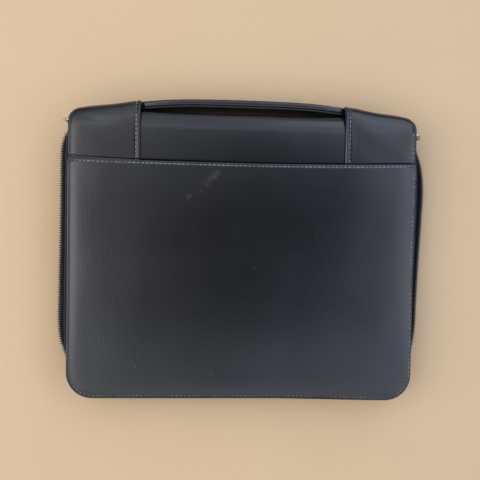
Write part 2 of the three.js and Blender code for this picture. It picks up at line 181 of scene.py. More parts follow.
WRAP_LOW, WRAP_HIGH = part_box("cover_wrap")
ZIPPED_EDGE = np.array([WRAP_LOW.x + HALF_WIDTH * MM, WRAP_HIGH.y - COVER_DEPTH * MM, 0])


def to_row(points):
    points = np.asarray(points, float)
    near_zip = 1 - smoothstep(points[..., 1], *STRETCH_DEPTH)
    stretch = near_zip * smoothstep(points[..., 0], *STRETCH_X)
    return (points + stretch[..., None] * (*CORNER_STRETCH, 0)) * MM + ZIPPED_EDGE


def place(x, depth, height):
    return np.stack(np.broadcast_arrays(x, depth, height), axis=-1).astype(float)


def smoothstep(value, start, end):
    share = np.clip((value - start) / (end - start), 0, 1)
    return share * share * (3 - 2 * share)


def ridge(value, at, width):
    return np.exp(-(((value - at) / width) ** 2))


def roundness(distance, radius):
    """Share of a wall's thickness at a distance from its rolled edge."""
    return np.sqrt(1 - (1 - np.clip(distance / radius, 0, 1)) ** 2)


def unit(vectors):
    return vectors / np.linalg.norm(vectors, axis=-1, keepdims=True)


def curve_through(keys, values, at):
    """Smooth curve through the rows of a table."""
    keys = np.asarray(keys, float)
    values = np.asarray(values, float)
    slopes = np.gradient(values, keys)
    low = np.clip(np.searchsorted(keys, at) - 1, 0, len(keys) - 2)
    span = keys[low + 1] - keys[low]
    share = np.clip((at - keys[low]) / span, 0, 1)
    rest = 1 - share
    ends = (1 + 2 * share) * rest**2 * values[low] + (1 + 2 * rest) * share**2 * values[low + 1]
    return ends + share * rest * span * (rest * slopes[low] - share * slopes[low + 1])


def run_along(lines):
    """Distance of each point from the start of its line."""
    steps = np.linalg.norm(np.diff(lines, axis=-2), axis=-1).cumsum(axis=-1)
    return np.concatenate([np.zeros_like(steps[..., :1]), steps], axis=-1)


def points_at(stops, run, points):
    """Points of a line at the given distances along it."""
    return np.stack([np.interp(stops, run, values) for values in points.T], axis=-1)


def left_of(lines):
    """Directions at right angles to flat lines, on their left."""
    ahead = unit(np.gradient(lines, axis=-2))
    return np.stack([-ahead[..., 1], ahead[..., 0]], axis=-1)


def soft_bend(start, corner, end, share):
    """Points on a curve from start to end that is drawn towards the corner."""
    return start * (1 - share) ** 2 + corner * 2 * share * (1 - share) + end * share**2


def waviness(x, y, waves):
    """Soft unevenness of hand-made leather, up and down by about its height."""
    random = np.random.default_rng(waves["seed"])
    total = 0
    for turn, phase, stretch in random.uniform(0, 1, (5, 3)):
        across = x * math.cos(turn * math.tau) + y * math.sin(turn * math.tau)
        length = waves["length"] * (0.7 + stretch)
        total = total + np.sin(across * math.tau / length + phase * math.tau)
    return waves["height"] * total / 3


def edge_steps(wall, reach):
    """Distances from an edge at which a panel has grid lines, closest where the edge rolls over."""
    roll = max(wall / 2, ROLL_WIDTH) * (1 - np.cos(np.linspace(0, math.pi / 2, 10)))
    return np.array([*roll, *[step for step in SEAM_STEPS if roll[-1] < step <= reach]])


def both_sides(half, steps, middle_steps):
    """Places from -half to half with the given steps in from both ends."""
    half = np.asarray(half, float)[..., None]
    inner = half - steps[-1]
    middle = inner * np.linspace(-1, 1, middle_steps + 1)[1:-1]
    return np.concatenate([-half + steps, middle, half - steps[::-1]], axis=-1)


def new_object(name, data):
    made = bpy.data.objects.new(name, data)
    bpy.context.scene.collection.objects.link(made)
    return made


def make_piece(name, points, faces, material, body="bag", slot="leather", marks=None):
    """Closed mesh from design points, welded, facing out and riding on its body."""
    mesh = bpy.data.meshes.new(name)
    mesh.from_pydata(to_row(points).tolist(), [], faces)
    for mark, values in (marks or {}).items():
        layer = mesh.attributes.new(mark, "FLOAT", "POINT")
        layer.data.foreach_set("value", np.asarray(values, np.float32).ravel())
    form = bmesh.new()
    form.from_mesh(mesh)
    bmesh.ops.remove_doubles(form, verts=form.verts, dist=2e-6)
    bmesh.ops.dissolve_degenerate(form, edges=form.edges, dist=1e-7)
    bmesh.ops.recalc_face_normals(form, faces=form.faces)
    form.to_mesh(mesh)
    form.free()
    mesh.shade_smooth()
    mesh.materials.append(material)
    piece = new_object(name, mesh)
    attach(piece, body)
    return piece


def grid_faces(rows, columns, first=0):
    index = np.arange(rows * columns).reshape(rows, columns) + first
    corners = [index[:-1, :-1], index[:-1, 1:], index[1:, 1:], index[1:, :-1]]
    return np.stack(corners, axis=-1).reshape(-1, 4).tolist()


def make_shell(name, outer, inner, material, edge=None, **options):
    """Piece between an outer and an inner grid of points whose borders meet."""
    rows, columns = outer.shape[:2]
    points = np.concatenate([outer.reshape(-1, 3), inner.reshape(-1, 3)])
    faces = grid_faces(rows, columns) + grid_faces(rows, columns, rows * columns)
    marks = None
    # The edge mark tells the leather where to lighten its edges: wear and a painted highlight.
    if edge is not None:
        edge_wear_and_shine = np.broadcast_to(edge, (rows, columns)).ravel()
        marks = {"edge": np.tile(edge_wear_and_shine, 2)}
    return make_piece(name, points, faces, material, marks=marks, **options)


# Form of the covers

SLOPE = math.atan((SPINE_HEIGHT - EDGE_HEIGHT) / COVER_DEPTH)
FRONT_END = COVER_DEPTH - SPINE_RADIUS
BACK_END = COVER_DEPTH - SPINE_EASE


def back_line(depth):
    return EDGE_HEIGHT + math.tan(SLOPE) * depth


def crown(x, depth):
    along = np.clip(depth / FRONT_END, 0, 1)
    return CROWN * (1 - (x / HALF_WIDTH) ** 2) * np.sin(math.pi * along)


def corner_inset(radius, into):
    return radius - np.sqrt(radius**2 - np.clip(into, 0, radius) ** 2)


def half_width(depth):
    at_zip = corner_inset(CORNER_RADIUS, CORNER_RADIUS - depth)
    return HALF_WIDTH - at_zip - corner_inset(SPINE_CORNER, depth - COVER_DEPTH + SPINE_CORNER)


def mouth_sag(x):
    return np.where(x < 0, *MOUTH_SAG) * (x / HALF_WIDTH) ** 2


def pocket_mouth(x):
    return POCKET_MOUTH + mouth_sag(x)


def edge_distance(x, depth):
    """How far inside the covers' outline a point lies."""
    past_x = np.abs(x) - HALF_WIDTH + CORNER_RADIUS
    past_depth = CORNER_RADIUS - depth
    corner = CORNER_RADIUS - np.hypot(past_x, past_depth)
    straight = np.minimum(half_width(np.maximum(depth, CORNER_RADIUS)) - np.abs(x), depth)
    return np.where((past_x > 0) & (past_depth > 0), corner, straight)


# Path round the wrap in side view: along the back cover, over the spine and back along the front cover.
# The upper edge of the spine is part of an ellipse that eases out of the flat.
ROUND_START = math.pi / 2 + math.atan(SPINE_EASE / SPINE_RADIUS * math.tan(SLOPE))
PATH_BACK = BACK_END + SPINE_EASE * math.cos(ROUND_START)
UPPER_CENTRE = back_line(PATH_BACK) - SPINE_RADIUS * math.sin(ROUND_START)
PATH_FACE = PATH_BACK + ROUND_START * (SPINE_EASE + SPINE_RADIUS) / 2
PATH_LOWER = PATH_FACE + UPPER_CENTRE - SPINE_RADIUS
PATH_FRONT = PATH_LOWER + SPINE_RADIUS * math.pi / 2
PATH_END = PATH_FRONT + FRONT_END


def wrap_side(path):
    """Depth, height and outward angle of the wrap's outer face along its path."""
    upper = np.interp(path, [PATH_BACK, PATH_FACE], [ROUND_START, 0])
    lower = np.interp(path, [PATH_LOWER, PATH_FRONT], [0, -math.pi / 2])
    angle = np.arctan2(SPINE_EASE * np.sin(upper), SPINE_RADIUS * np.cos(upper)) + lower
    stretches = [path < PATH_BACK, path < PATH_FACE, path < PATH_LOWER, path < PATH_FRONT]
    depths = [
        path,
        BACK_END + SPINE_EASE * np.cos(upper),
        np.full_like(path, COVER_DEPTH),
        FRONT_END + SPINE_RADIUS * np.cos(lower),
    ]
    heights = [
        back_line(path),
        UPPER_CENTRE + SPINE_RADIUS * np.sin(upper),
        UPPER_CENTRE + PATH_FACE - path,
        SPINE_RADIUS + SPINE_RADIUS * np.sin(lower),
    ]
    return np.select(stretches, depths, PATH_END - path), np.select(stretches, heights, 0), angle


def strip_swell(x, depth):
    """Slight arch of the back cover between the pocket's mouth and the spine, flatter at the sides."""
    start = pocket_mouth(x)
    share = np.clip((depth - start) / (COVER_DEPTH - STRIP_ARCH["margin"] - start), 0, 1)
    flatter = 1 - STRIP_ARCH["flatter"] * np.clip(x / STRIP_ARCH["half"], -1, 1) ** 2
    return STRIP_ARCH["height"] * flatter * np.sin(math.pi * share)


def wrap_point(path, x, off):
    depth, height, angle = wrap_side(path)
    rise = np.where(path < PATH_FACE, crown(x, depth) + strip_swell(x, depth), 0)
    return place(x, depth + off * np.cos(angle), height + rise + off * np.sin(angle))


def wrap_normal(path):
    angle = wrap_side(path)[2]
    return place(0, np.cos(angle), np.sin(angle))


# Materials

def fill(tree, node, inputs):
    """Set or link the inputs of a node."""
    for key, value in inputs.items():
        if isinstance(value, bpy.types.NodeSocket):
            tree.links.new(value, node.inputs[key])
        else:
            node.inputs[key].default_value = value


def add_node(tree, kind, inputs=None, **settings):
    made = tree.nodes.new(kind)
    for key, value in settings.items():
        setattr(made, key, value)
    fill(tree, made, inputs or {})
    return made


def new_material(name):
    material = bpy.data.materials.new(name)
    material.use_nodes = True
    return material, material.node_tree


def dress(material, **inputs):
    """Set or link the inputs of a material's shader."""
    tree = material.node_tree
    sockets = {key.replace("_", " "): value for key, value in inputs.items()}
    fill(tree, tree.nodes["Principled BSDF"], sockets)
    return material


def object_place(tree, stretch=(1, 1, 1)):
    """Coordinates of the object in metres, stretched for a texture."""
    source = add_node(tree, "ShaderNodeTexCoord").outputs["Object"]
    return add_node(tree, "ShaderNodeMapping", {"Vector": source, "Scale": stretch}).outputs["Vector"]


def noise(tree, where, scale, detail=3.0, roughness=0.5):
    inputs = {"Vector": where, "Scale": scale, "Detail": detail, "Roughness": roughness}
    return add_node(tree, "ShaderNodeTexNoise", inputs).outputs["Fac"]


def map_range(tree, value, low, high, to_low, to_high):
    inputs = {"Value": value, "From Min": low, "From Max": high, "To Min": to_low, "To Max": to_high}
    return add_node(tree, "ShaderNodeMapRange", inputs).outputs["Result"]


def math_node(tree, operation, first, second):
    made = add_node(tree, "ShaderNodeMath", {0: first, 1: second}, operation=operation)
    return made.outputs["Value"]


def mix_colour(tree, share, first, second):
    made = add_node(tree, "ShaderNodeMix", {0: share, 6: first, 7: second}, data_type="RGBA")
    return made.outputs[2]


def bump(tree, height, distance, strength, normal=None):
    inputs = {"Height": height, "Distance": distance, "Strength": strength}
    if normal is not None:
        inputs["Normal"] = normal
    return add_node(tree, "ShaderNodeBump", inputs).outputs["Normal"]


# Colour that lightens the leather's edges: partly real wear, partly a painted highlight where the rolled
# edges catch the light.
WORN_AND_LIT_EDGE = (0.02, 0.019, 0.02, 1)
SCUFFED = (0.055, 0.055, 0.058, 1)


def leather(name, dark, light, roughness, gloss=0.5, streak=0.35, marks=None, worn_and_lit_edge=WORN_AND_LIT_EDGE):
    """Smooth black leather with a fine grain, faint streaks along the depth and edges lightened partly by
    wear and partly by a painted highlight.
    """
    material, tree = new_material(name)
    where = object_place(tree)
    streaks = noise(tree, object_place(tree, (1, 0.12, 1)), 330, 2)
    clouds = noise(tree, where, 22, 4, 0.6)
    cells = add_node(tree, "ShaderNodeTexVoronoi", {"Vector": where, "Scale": 1100, "Randomness": 1})
    streaked = map_range(tree, streaks, 0.3, 0.7, 0, 0.4)
    tone = math_node(tree, "ADD", streaked, map_range(tree, clouds, 0.3, 0.7, 0, 0.6))
    colour = mix_colour(tree, tone, dark, light)
    # Edges are mixed in patches towards that lighter colour: wear and a painted highlight.
    edge = add_node(tree, "ShaderNodeAttribute", attribute_name="edge").outputs["Fac"]
    patchy_share = math_node(tree, "MULTIPLY", edge, map_range(tree, noise(tree, where, 160), 0.35, 0.7, 0.4, 0.9))
    colour = mix_colour(tree, patchy_share, colour, worn_and_lit_edge)
    rough = map_range(tree, clouds, 0.3, 0.7, roughness - 0.01, roughness + 0.01)
    if marks is not None:
        colour = mix_colour(tree, marks(tree, where), colour, SCUFFED)
    grain = bump(tree, cells.outputs["Distance"], 0.00005, 0.5)
    grain = bump(tree, noise(tree, where, 600, 2), 0.00012, 0.7, grain)
    grain = bump(tree, streaks, 0.0001, streak, grain)
    return dress(
        material, Base_Color=colour, Roughness=rough, IOR=1.5, Specular_IOR_Level=gloss, Normal=grain
    )


BLACKS = ((0.006, 0.006, 0.007, 1), (0.009, 0.009, 0.0105, 1))
LEATHER = leather("black_leather", *BLACKS, 0.24)


# Rubbed spots on the pocket: x and depth, size and strength
SCUFFS = [
    (-25, 208, 4, 0.6), (-28, 205, 4, 0.7), (-32, 202, 3.8, 0.6), (-35, 197, 3.6, 0.5), (-40, 192, 3, 0.4),
    (-51, 186, 4, 0.6), (-97, 30, 1.6, 1), (-28, 23, 1.4, 1), (11, 122, 1.4, 0.9),
]


def scuffs(tree, where):
    """Share of pale rubbed leather, broken up by the grain."""
    flat = object_place(tree, (1, 1, 0))
    rubbed = 0.0
    for x, depth, size, strength in SCUFFS:
        spot = to_row((x, depth, 0))
        gap = add_node(tree, "ShaderNodeVectorMath", {0: flat, 1: tuple(spot)}, operation="DISTANCE")
        mark = map_range(tree, gap.outputs["Value"], 0, size * MM, strength, 0)
        rubbed = math_node(tree, "MAXIMUM", rubbed, mark)
    broken = map_range(tree, noise(tree, where, 700, 2), 0.35, 0.6, 0.2, 1)
    return math_node(tree, "MULTIPLY", rubbed, broken)


POCKET_LEATHER = leather("pocket_leather", *BLACKS, 0.235, streak=0.05, marks=scuffs)
LINING_LEATHER = leather("lining_leather", (0.004, 0.004, 0.005, 1), (0.007, 0.007, 0.008, 1), 0.4, 0.35)
# The gusset's free edge is lightened bluish: a painted highlight where it faces up into the light.
GUSSET_LEATHER = leather(
    "gusset_leather", (0.007, 0.009, 0.015, 1), (0.013, 0.016, 0.025, 1), 0.6, 0.05,
    worn_and_lit_edge=(0.045, 0.057, 0.09, 1),
)


# Where the thread is darker, along the left, the right and the zipped edge: an axis, from where to
# where in metres, and the share of its brightness at both
THREAD_EDGE_DARKENING = [("X", -0.157, -0.15, 0.12, 1), ("X", 0.15, 0.155, 1, 0.8), ("Y", -0.134, -0.128, 0.4, 1)]


def thread_material():
    material, tree = new_material("grey_thread")
    where = object_place(tree)
    fibres = noise(tree, where, 2600, 2)
    patchy_share = map_range(tree, noise(tree, where, 90, 2), 0.4, 0.6, 0.35, 1)
    bright = math_node(tree, "MULTIPLY", map_range(tree, fibres, 0.3, 0.7, 0.5, 1), patchy_share)
    axes = add_node(tree, "ShaderNodeSeparateXYZ", {"Vector": where}).outputs
    for axis, *values in THREAD_EDGE_DARKENING:
        bright = math_node(tree, "MULTIPLY", bright, map_range(tree, axes[axis], *values))
    colour = mix_colour(tree, bright, (0.02, 0.02, 0.022, 1), (0.25, 0.25, 0.258, 1))
    # Thread in its needle holes is painted near black: painted shade in the holes.
    hole = add_node(tree, "ShaderNodeAttribute", attribute_name="hole").outputs["Fac"]
    colour = mix_colour(tree, hole, colour, (0.002, 0.002, 0.002, 1))
    return dress(material, Base_Color=colour, Roughness=0.45, Normal=bump(tree, fibres, 0.0001, 0.6))


def tape_material():
    """Black tape with a fine cross weave."""
    material, tree = new_material("woven_tape")
    where = object_place(tree)
    weave = add_node(tree, "ShaderNodeTexWave", {"Vector": where, "Scale": 420, "Distortion": 1.5})
    cross = add_node(tree, "ShaderNodeTexChecker", {"Vector": where, "Scale": 1300})
    height = math_node(tree, "ADD", weave.outputs["Fac"], cross.outputs["Fac"])
    colour = mix_colour(tree, weave.outputs["Fac"], (0.005, 0.005, 0.007, 1), (0.012, 0.012, 0.016, 1))
    woven = bump(tree, height, 0.00012, 0.8)
    return dress(material, Base_Color=colour, Roughness=0.9, Specular_IOR_Level=0.03, Normal=woven)


def plastic_material():
    material, tree = new_material("tooth_plastic")
    flow = noise(tree, object_place(tree), 350, 3)
    colour = mix_colour(tree, flow, (0.012, 0.011, 0.011, 1), (0.03, 0.027, 0.026, 1))
    rough = map_range(tree, flow, 0.3, 0.7, 0.3, 0.42)
    uneven = bump(tree, flow, 0.00005, 0.4)
    return dress(material, Base_Color=colour, Roughness=rough, IOR=1.48, Normal=uneven)


def chrome_material():
    material, tree = new_material("ring_chrome")
    haze = noise(tree, object_place(tree), 500, 4)
    colour = mix_colour(tree, haze, (0.62, 0.62, 0.64, 1), (0.74, 0.74, 0.75, 1))
    rough = map_range(tree, haze, 0.3, 0.7, 0.12, 0.24)
    return dress(material, Base_Color=colour, Metallic=1, Roughness=rough)


THREAD = thread_material()
TAPE = tape_material()
PLASTIC = plastic_material()
CHROME = chrome_material()


# Leather panels

def to_right(x):
    """How far a place counts as part of the right side, where the leather is looser."""
    return smoothstep(x, 0, HALF_WIDTH - LOOSE_SIDE_MARGIN)


def seam_distance(x, depth):
    """Distance from the edge in the seam's own measure: it runs closer on the right and at the zip."""
    sides = 1 + (SEAM_CLOSER["right"] - 1) * to_right(x)
    to_zip = 1 - smoothstep(depth, *SEAM_ZIPPED_DEPTH)
    return edge_distance(x, depth) * (sides + (SEAM_CLOSER["zipped"] - sides) * to_zip)


def seam_groove(distance):
    return -GROOVE["depth"] * ridge(distance, GROOVE["inset"], GROOVE["width"])


def shoulder(distance, sizes):
    """Share of its full height that sewn leather has reached at a distance from its edge."""
    run = np.maximum(distance - sizes["start"], 0) / sizes["length"]
    return 1 - np.exp(-(run**SHOULDER_POWER))


def hem_profile(distance, hem):
    """Height of a turned and stitched hem against its edge."""
    inset = hem["inset"]
    rise = smoothstep(distance, 0, inset * HEM_TURN["rise"])
    fall = smoothstep(distance, inset * HEM_TURN["fall"], inset + HEM_TURN["past"])
    return hem["swell"] * rise * (1 - fall) - hem["depth"] * ridge(distance, inset, hem["width"])


def cover_wrap():
    """Back cover, spine and front cover in one piece of leather. The rows of its grid lie closer at the
    edges, at the pocket's mouth and round the spine."""
    steps = edge_steps(COVER_WALL, 21)
    flat = np.r_[steps, 26:204:7, 205:213:1.6, 213:225:0.5, 226 : BACK_END - 1 : 2]
    spine = np.linspace(PATH_BACK, PATH_FRONT, 62)
    front = np.r_[steps, 26 : FRONT_END - 4 : 7]
    path = np.r_[flat, spine, PATH_END - front[::-1]][:, None]
    depth = wrap_side(path)[0]
    x = both_sides(half_width(depth)[:, 0], steps, 44)
    inside = edge_distance(x, depth)
    half = COVER_WALL / 2 * roundness(inside, COVER_WALL / 2)
    groove = seam_groove(inside) * (path > PATH_FRONT)
    soft = waviness(x, path, COVER_WAVES) * smoothstep(inside, 4, 24) * (path < PATH_LOWER)
    dip = MOUTH_DIP["cover"] * ridge(depth, pocket_mouth(x), MOUTH_DIP["cover_width"]) * (path < PATH_BACK)
    outer = wrap_point(path, x, half - COVER_WALL / 2 + groove + soft - dip)
    inner = wrap_point(path, x, -half - COVER_WALL / 2)
    piece = make_shell("cover_leather", outer, inner, LEATHER, ridge(inside, 0, 1))
    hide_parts("cover_wrap")


def pocket_under(x, depth):
    """Height of the pocket's underside: sewn down round its rim, raised over the sleeves."""
    inside = edge_distance(x, depth)
    left, right = (sizes["height"] * shoulder(inside, sizes) for sizes in (SHOULDER, RIGHT_SHOULDER))
    full = left + (right - left) * to_right(x)
    over = POCKET_LIFT * smoothstep(depth, *POCKET_RAMP)
    return back_line(depth) + crown(x, depth) + GAP + full + over


def round_three_sides(inset, back, corner, side_points, corner_points, front_points):
    """Line at an inset from the covers' left, zipped and right edges, as x and depth."""
    wide = HALF_WIDTH - inset
    turn = np.linspace(0, math.pi / 2, corner_points)
    side_x = np.full(side_points, wide)
    side_depth = np.linspace(back, inset + corner, side_points + 1)[:-1]
    arc_x = wide - corner + corner * np.cos(turn)
    arc_depth = inset + corner - corner * np.sin(turn)
    front_x = np.linspace(corner - wide, wide - corner, front_points + 2)[1:-1]
    front_depth = np.full(front_points, inset)
    x = np.r_[-side_x, -arc_x, front_x, arc_x[::-1], side_x]
    return x, np.r_[side_depth, arc_depth, front_depth, arc_depth[::-1], side_depth[::-1]]


def pocket_seam(inset):
    """Line at an inset from the pocket's sewn edges, with smaller corners further in."""
    deepest = POCKET_MOUTH / 2
    corner = (CORNER_RADIUS - min(inset, 12)) * min(1, (deepest - inset) / (deepest - 12))
    x, depth = round_three_sides(inset, POCKET_MOUTH - inset, corner, 47, 13, 64)
    return x, depth + mouth_sag(x) * (depth / POCKET_MOUTH) ** 2


def pocket_ring(inset):
    """Closed outline of the pocket at an inset from its edge, as x and depth."""
    x, depth = pocket_seam(inset)
    across = np.linspace(HALF_WIDTH - inset, inset - HALF_WIDTH, 66)[1:]
    mouth = POCKET_MOUTH - inset
    along = mouth + mouth_sag(across) * (mouth / POCKET_MOUTH) ** 2
    return np.r_[x, across], np.r_[depth, along]


def pocket_top(x, depth):
    """Height of the pocket's outer face away from its rolled edge."""
    groove = seam_groove(seam_distance(x, depth)) * (1 - (1 - GROOVE["right"]) * to_right(x))
    hem = hem_profile(pocket_mouth(x) - depth, MOUTH)
    soft = waviness(x, depth, POCKET_WAVES) * smoothstep(edge_distance(x, depth), 4, 30)
    return pocket_under(x, depth) + POCKET_WALL + groove + hem + soft


def back_pocket():
    insets = np.r_[edge_steps(POCKET_WALL, 21), np.linspace(27, POCKET_MOUTH / 2, 14)]
    x, depth = np.swapaxes([pocket_ring(inset) for inset in insets], 0, 1)
    under = pocket_under(x, depth)
    top = pocket_top(x, depth)
    middle = (under + top) / 2
    half = (top - under) / 2 * roundness(insets, ROLL_WIDTH)[:, None]
    outer = place(x, depth, middle + half)
    inner = place(x, depth, middle - half)
    piece = make_shell("pocket_leather", outer, inner, POCKET_LEATHER, ridge(insets, 0, 1)[:, None])
    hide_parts("back_pocket")


# Sleeves

TAB_END = PATH_LOWER + SPINE_RADIUS * math.radians(TAB_END_ANGLE)


def tab_off(path, x):
    """How far the inside of a sleeve stands off the wrap: its back bends down from the flat on a
    wide curve, turns over the handle and tucks in below."""
    depth, height, angle = wrap_side(path)
    run = np.maximum(depth - FRONT_END, 0)
    room = np.maximum(back_line(depth) - run**2 / (2 * TAB_BEND) - height, 0)
    steepness = np.sin(np.maximum(angle, 0)) + (run / TAB_BEND - math.tan(SLOPE)) * np.cos(angle)
    under_bend = 2 * room / (steepness + np.sqrt(steepness**2 + 2 * room * np.cos(angle) ** 2 / TAB_BEND))
    under_bend = np.where(path < PATH_BACK, 0, np.where(angle < 0, TAB_NO_LIMIT, under_bend))
    down = np.clip((path - PATH_FACE) / (TAB_END - PATH_FACE), 0, 1)
    bulge = (curve_through(TAB_X, TAB_REACH, x) - TAB_WALL - GAP) * (1 - down**TAB_TUCK)
    blend = np.maximum(TAB_ROUND - np.abs(under_bend - bulge), 0)
    return GAP + np.maximum(np.minimum(under_bend, bulge) - blend**2 / (4 * TAB_ROUND), 0)


def tab_shift(x):
    return HANDLE_OFFSET * (HALF_WIDTH - x) / (HALF_WIDTH - TAB_X[0])


def tab_profile(path, x):
    """Height of a sleeve's outer face against its even thickness: hem, seam and a dip at the pocket."""
    depth = wrap_side(path)[0]
    edge = half_width(depth) - x
    fall = 0.5 * (shoulder(edge, SHOULDER) - 1) * ridge(edge, 0, 9)
    dip = MOUTH_DIP["sleeve"] * ridge(depth, pocket_mouth(x), MOUTH_DIP["sleeve_width"])
    return hem_profile(x - TAB_X[0], HEM) + seam_groove(edge) + fall - dip


def tab_point(side, path, x, off):
    return wrap_point(path, side * x + tab_shift(x), tab_off(path, x) + off)


def tab(name, side):
    steps = edge_steps(TAB_WALL, 11)
    flat = np.r_[TAB_START + steps, TAB_START + 11.4 : 226 : 0.4, 226 : PATH_BACK - 0.5]
    bends = np.linspace(PATH_BACK, TAB_END - 12, 44)
    path = np.r_[flat, bends, TAB_END - steps[::-1]][:, None]
    limit = half_width(wrap_side(path)[0])[:, 0]
    reach = (limit - TAB_X[0]) / 2
    x = both_sides(reach, steps, 18) + (limit + TAB_X[0])[:, None] / 2
    edge = np.minimum(x - TAB_X[0], limit[:, None] - x)
    ends = np.minimum(path - TAB_START, TAB_END - path)
    half = TAB_WALL / 2 * roundness(np.minimum(edge, ends), ROLL_WIDTH)
    soft = waviness(x * side, path, SLEEVE_WAVES) * smoothstep(edge, 3, 12)
    outer = tab_point(side, path, x, TAB_WALL / 2 + half + (tab_profile(path, x) + soft) * (half > 0))
    inner = tab_point(side, path, x, TAB_WALL / 2 - half)
    piece = make_shell(name + "_leather", outer, inner, LEATHER, ridge(edge, 0, 1))
    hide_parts(name)


# Carry handle

def handle_sizes(x):
    tables = (HANDLE_INNER, HANDLE_OUTER, HANDLE_HALF)
    return [curve_through(HANDLE_X, values, np.abs(x)) for values in tables]


def handle_point(x, off, height):
    return place(x + HANDLE_OFFSET, COVER_DEPTH + off, HANDLE_MIDDLE + height)


def handle_layer(name, outward):
    reach = HANDLE_X[-1]
    x = both_sides(reach, edge_steps(2, 6), 150)[:, None]
    inner, outer, half_height = handle_sizes(x)
    seam = inner + (outer - inner) * HANDLE_SPLIT + outward * GAP / 2
    full = outer if outward > 0 else inner
    height = both_sides(half_height[:, 0], edge_steps(3, 6), 12)
    inside = half_height - np.abs(height)
    bowed = full - (full - seam) * HANDLE_THINNING * np.abs(height / half_height) ** 3
    groove = seam_groove(inside) * HANDLE_GROOVE * (outward > 0)
    share = np.minimum(roundness(inside, HANDLE_ROLL), roundness(reach - np.abs(x), HANDLE_ROLL))
    middle = (seam + bowed) / 2
    front = handle_point(x, middle + (bowed - middle + groove) * share, height)
    back = handle_point(x, middle + (seam - middle) * share, height)
    skin = LEATHER if outward > 0 else LINING_LEATHER
    piece = make_shell(name + "_leather", front, back, skin, ridge(inside, 0, 1))
    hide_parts(name)


# Zipped rim

RIM_TOP = RIM_DEPTH[-1]
SIDE_LENGTH = RIM_TOP - CORNER_RADIUS
ARC_LENGTH = CORNER_RADIUS * math.pi / 2
FRONT_HALF = HALF_WIDTH - CORNER_RADIUS
RIM_LENGTH = 2 * (SIDE_LENGTH + ARC_LENGTH + FRONT_HALF)


def rim_frame(along):
    """Outline point, outward direction and bulge at a distance along the rim from its left end."""
    half = RIM_LENGTH / 2
    side = np.where(along < half, -1.0, 1.0)
    way = half - np.abs(along - half)
    turn = np.clip((way - SIDE_LENGTH) / ARC_LENGTH, 0, 1) * math.pi / 2
    on_side = way < SIDE_LENGTH
    depth = np.where(on_side, RIM_TOP - way, CORNER_RADIUS * (1 - np.sin(turn)))
    on_front = np.clip(way - SIDE_LENGTH - ARC_LENGTH, 0, None)
    x = FRONT_HALF + CORNER_RADIUS * np.cos(turn) - on_front
    bulges = [curve_through(RIM_DEPTH, bulge, depth) for bulge in (RIM_LEFT, RIM_RIGHT)]
    bulge = np.where(on_side, np.where(side < 0, *bulges), RIM_FRONT)
    outward = place(side * np.cos(turn), -np.sin(turn), 0)
    return place(side * x, depth, 0), outward, bulge


def rim_room(depth):
    """Half the height between the covers, and the height of the middle."""
    under = back_line(depth) - COVER_WALL / math.cos(SLOPE)
    return (under - COVER_WALL) / 2, (under + COVER_WALL) / 2


def rim_places(step):
    """Distances along the rim, closer at its ends."""
    ends = np.r_[0, 0.06, 0.23, 0.5, 0.8, 1.4:40]
    return np.r_[ends, 40 : RIM_LENGTH - 40 : step, RIM_LENGTH - ends[::-1]]


def rim_strip(name, upside, wall, section, material, slot):
    """Strip of even thickness swept round the rim along the middle line of its section."""
    along = rim_places(3)
    spot, outward, bulge = rim_frame(along)
    half, middle = rim_room(spot[:, 1])
    lines = np.array([section(*values) for values in zip(half, bulge)])
    run = run_along(lines)
    inside = np.minimum(run, run[:, -1:] - run)
    ends = np.minimum(along, RIM_LENGTH - along)[:, None]
    thick = wall / 2 * np.minimum(roundness(inside, wall / 2), roundness(ends, wall / 2))
    off = left_of(lines) * thick[..., None]

    def spread(flat):
        level = place(0, 0, middle[:, None] + upside * flat[..., 1])
        return spot[:, None] + outward[:, None] * flat[..., :1] + level

    # The strip's free edge gets the edge mark, which the gusset's leather lightens as a painted highlight.
    tip = ridge(run[:, -1:] - run, 0.8, 1)
    piece = make_shell(name + "_strip", spread(lines + off), spread(lines - off), material, tip, slot=slot)
    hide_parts(name)


def rim_slant(half, bulge):
    """Point on the slanting side of the rim at a share of its length and an offset outwards."""
    root = np.array([SLANT["out"], half - SLANT["below"]])
    down = np.array([bulge - SLANT["short"], 0]) - root
    outward = np.array([-down[1], down[0]]) / np.linalg.norm(down)
    return lambda share, off: root + down * np.asarray(share)[..., None] + outward * off


def gusset_section(half, bulge):
    at = rim_slant(half, bulge)
    seat = half - GAP - GUSSET_WALL / 2
    flange = [(step - GUSSET_FLANGE, seat) for step in (0, 0.1, 0.4, 1, 3)]
    share = np.linspace(0, 1, 9)[:, None]
    fold = soft_bend(np.array([-2.6, seat]), np.array([-0.8, seat]), at(0.1, 0), share)
    strip = at(np.linspace(0.13, GUSSET_SHARE - 0.09, 8), 0)
    tip = at(GUSSET_SHARE - np.array([0.07, 0.05, 0.03, 0.015, 0.005, 0]), 0)
    return np.concatenate([flange, fold, strip, tip])


def tape_section(half, bulge):
    at = rim_slant(half, bulge)
    under = -GUSSET_WALL / 2 - GAP - TAPE_WALL / 2
    end = np.array([bulge - CHAIN_THICKNESS - GAP, TAPE_EDGE])
    start = at(TAPE_SHARES[0], under)
    bend = at(TAPE_SHARES[1], under)
    bend[0] = min(bend[0], end[0] - 0.5)
    return soft_bend(start, bend, end, 0.5 - 0.5 * np.cos(np.linspace(0, math.pi, 16))[:, None])


def chain_line(step):
    """Middle line of the chain with its outward direction, at even steps."""
    along = np.arange(0, RIM_LENGTH, 0.5)
    spot, outward, bulge = rim_frame(along)
    line = spot + outward * (bulge - CHAIN_THICKNESS / 2)[:, None]
    line[:, 2] = rim_room(spot[:, 1])[1]
    run = run_along(line)
    stops = np.arange(step, run[-1] - step, step)
    even = points_at(stops, run, line)
    ahead = unit(np.gradient(even, axis=0))
    out = unit(np.cross(ahead, (0, 0, 1)))
    facing = points_at(stops, run, outward)
    return even, ahead, out * np.sign((out * facing).sum(axis=1, keepdims=True))


